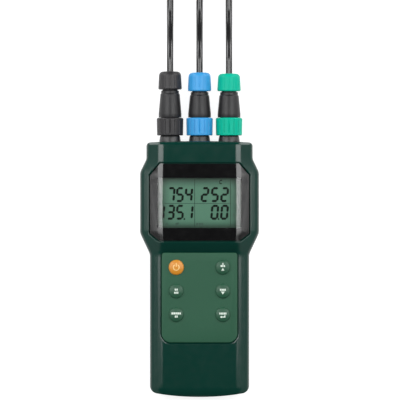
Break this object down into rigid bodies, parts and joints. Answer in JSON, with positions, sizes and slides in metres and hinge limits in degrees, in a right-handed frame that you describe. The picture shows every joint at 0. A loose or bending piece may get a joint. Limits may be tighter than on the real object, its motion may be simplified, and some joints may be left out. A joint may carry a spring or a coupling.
{
  "type": "water quality meter",
  "caption": "Handheld water quality meter with a two-row display, round keys and three screw-on probe leads ending in oxygen, conductivity and pH probes.",
  "frame": {"origin": "on the surface under the meter, in the middle of the box round the meter and its plugs, without the free leads", "axes": "+Z out of the display, +Y along the meter towards its sockets, +X to the right as the display is read"},
  "size_m": [0.0988, 0.53, 0.0434],
  "materials": {
    "case_green": "satin, finely textured",
    "seam_grey": "matt",
    "window_black": "gloss",
    "lcd_glass": "satin",
    "inner_black": "matt",
    "zebra_pink": "matt",
    "board_green": "satin",
    "component_black": "matt",
    "keypad_green": "matt",
    "key_orange": "satin",
    "seal_black": "matt",
    "battery_sleeve": "satin",
    "contact_steel": "polished",
    "screw_steel": "satin",
    "socket_black": "satin",
    "contact_gold": "polished",
    "plug_black": "satin",
    "nut_black": "satin",
    "nut_blue": "satin",
    "nut_green": "satin",
    "cable_black": "satin",
    "tie_black": "matt",
    "boot_black": "matt",
    "probe_black": "satin",
    "probe_blue": "satin",
    "cap_grey": "satin",
    "tip_epoxy": "satin",
    "bulb_glass": "polished",
    "cap_black": "satin"
  },
  "bodies": {
    "meter": {"front_case": "case_green", "back_case": "case_green", "case_gasket": "seam_grey", "display_window": "window_black", "lcd_glass": "lcd_glass", "lcd_frame": "inner_black", "zebra_strips": "zebra_pink", "main_board": "board_green", "board_components": "component_black", "keypad_panel": "keypad_green", "battery_cover": "case_green", "battery_gasket": "seal_black", "batteries": "battery_sleeve", "battery_contacts": "contact_steel", "screws": "screw_steel", "board_screws": "screw_steel", "socket_do": "socket_black", "socket_ec": "socket_black", "socket_ph": "socket_black", "socket_pins": "contact_gold"},
    "key_power_body": {"key_power": "key_orange"},
    "key_mode_body": {"key_mode": "keypad_green"},
    "key_set_body": {"key_set": "keypad_green"},
    "key_up_body": {"key_up": "keypad_green"},
    "key_down_body": {"key_down": "keypad_green"},
    "key_enter_body": {"key_enter": "keypad_green"},
    "do_lead": {"do_plug": "plug_black", "do_contacts": "contact_gold", "do_gland": "nut_black", "do_cord": "cable_black", "do_hank": "cable_black", "do_tail": "cable_black", "do_tie": "tie_black", "do_boot": "boot_black", "do_probe": "probe_black", "do_tip": "cap_grey"},
    "do_nut_body": {"do_nut": "nut_black"},
    "ec_lead": {"ec_plug": "plug_black", "ec_contacts": "contact_gold", "ec_gland": "nut_blue", "ec_cord": "cable_black", "ec_hank": "cable_black", "ec_tail": "cable_black", "ec_tie": "tie_black", "ec_boot": "boot_black", "ec_probe": "probe_black", "ec_tip": "tip_epoxy"},
    "ec_nut_body": {"ec_nut": "nut_blue"},
    "ph_lead": {"ph_plug": "plug_black", "ph_contacts": "contact_gold", "ph_gland": "nut_green", "ph_cord": "cable_black", "ph_hank": "cable_black", "ph_tail": "cable_black", "ph_tie": "tie_black", "ph_boot": "boot_black", "ph_probe": "probe_blue", "ph_tip": "bulb_glass"},
    "ph_nut_body": {"ph_nut": "nut_green"},
    "ph_cap_body": {"ph_cap": "cap_black"}
  },
  "joints": [
    {"name": "key_power_press", "type": "slide", "parent": "meter", "child": "key_power_body", "axis": [0, 0, -1], "range_m": [0, 0.0007], "stiffness_N_per_m": 1200},
    {"name": "key_mode_press", "type": "slide", "parent": "meter", "child": "key_mode_body", "axis": [0, 0, -1], "range_m": [0, 0.0007], "stiffness_N_per_m": 1200},
    {"name": "key_set_press", "type": "slide", "parent": "meter", "child": "key_set_body", "axis": [0, 0, -1], "range_m": [0, 0.0007], "stiffness_N_per_m": 1200},
    {"name": "key_up_press", "type": "slide", "parent": "meter", "child": "key_up_body", "axis": [0, 0, -1], "range_m": [0, 0.0007], "stiffness_N_per_m": 1200},
    {"name": "key_down_press", "type": "slide", "parent": "meter", "child": "key_down_body", "axis": [0, 0, -1], "range_m": [0, 0.0007], "stiffness_N_per_m": 1200},
    {"name": "key_enter_press", "type": "slide", "parent": "meter", "child": "key_enter_body", "axis": [0, 0, -1], "range_m": [0, 0.0007], "stiffness_N_per_m": 1200},
    {"name": "do_plug_out", "type": "slide", "parent": "meter", "child": "do_lead", "axis": [0, 1, 0], "range_m": [0, 0.006]},
    {"name": "do_nut_turn", "type": "hinge", "parent": "do_lead", "child": "do_nut_body", "pos_m": [-0.01945, 0.07055, 0.02], "axis": [0, 1, 0], "range_deg": [0, 1441]},
    {"name": "ec_plug_out", "type": "slide", "parent": "meter", "child": "ec_lead", "axis": [0, 1, 0], "range_m": [0, 0.006]},
    {"name": "ec_nut_turn", "type": "hinge", "parent": "ec_lead", "child": "ec_nut_body", "pos_m": [0, 0.07055, 0.02], "axis": [0, 1, 0], "range_deg": [0, 1441]},
    {"name": "ph_plug_out", "type": "slide", "parent": "meter", "child": "ph_lead", "axis": [0, 1, 0], "range_m": [0, 0.006]},
    {"name": "ph_nut_turn", "type": "hinge", "parent": "ph_lead", "child": "ph_nut_body", "pos_m": [0.01945, 0.07055, 0.02], "axis": [0, 1, 0], "range_deg": [0, 1441]},
    {"name": "ph_cap_pull", "type": "slide", "parent": "ph_lead", "child": "ph_cap_body", "axis": [0, 1, 0], "range_m": [0, 0.03]}
  ],
  "couplings": [
    {"joint": "do_nut_turn", "follows": "do_plug_out", "rad_per_m": 4188.8},
    {"joint": "ec_nut_turn", "follows": "ec_plug_out", "rad_per_m": 4188.8},
    {"joint": "ph_nut_turn", "follows": "ph_plug_out", "rad_per_m": 4188.8}
  ]
}
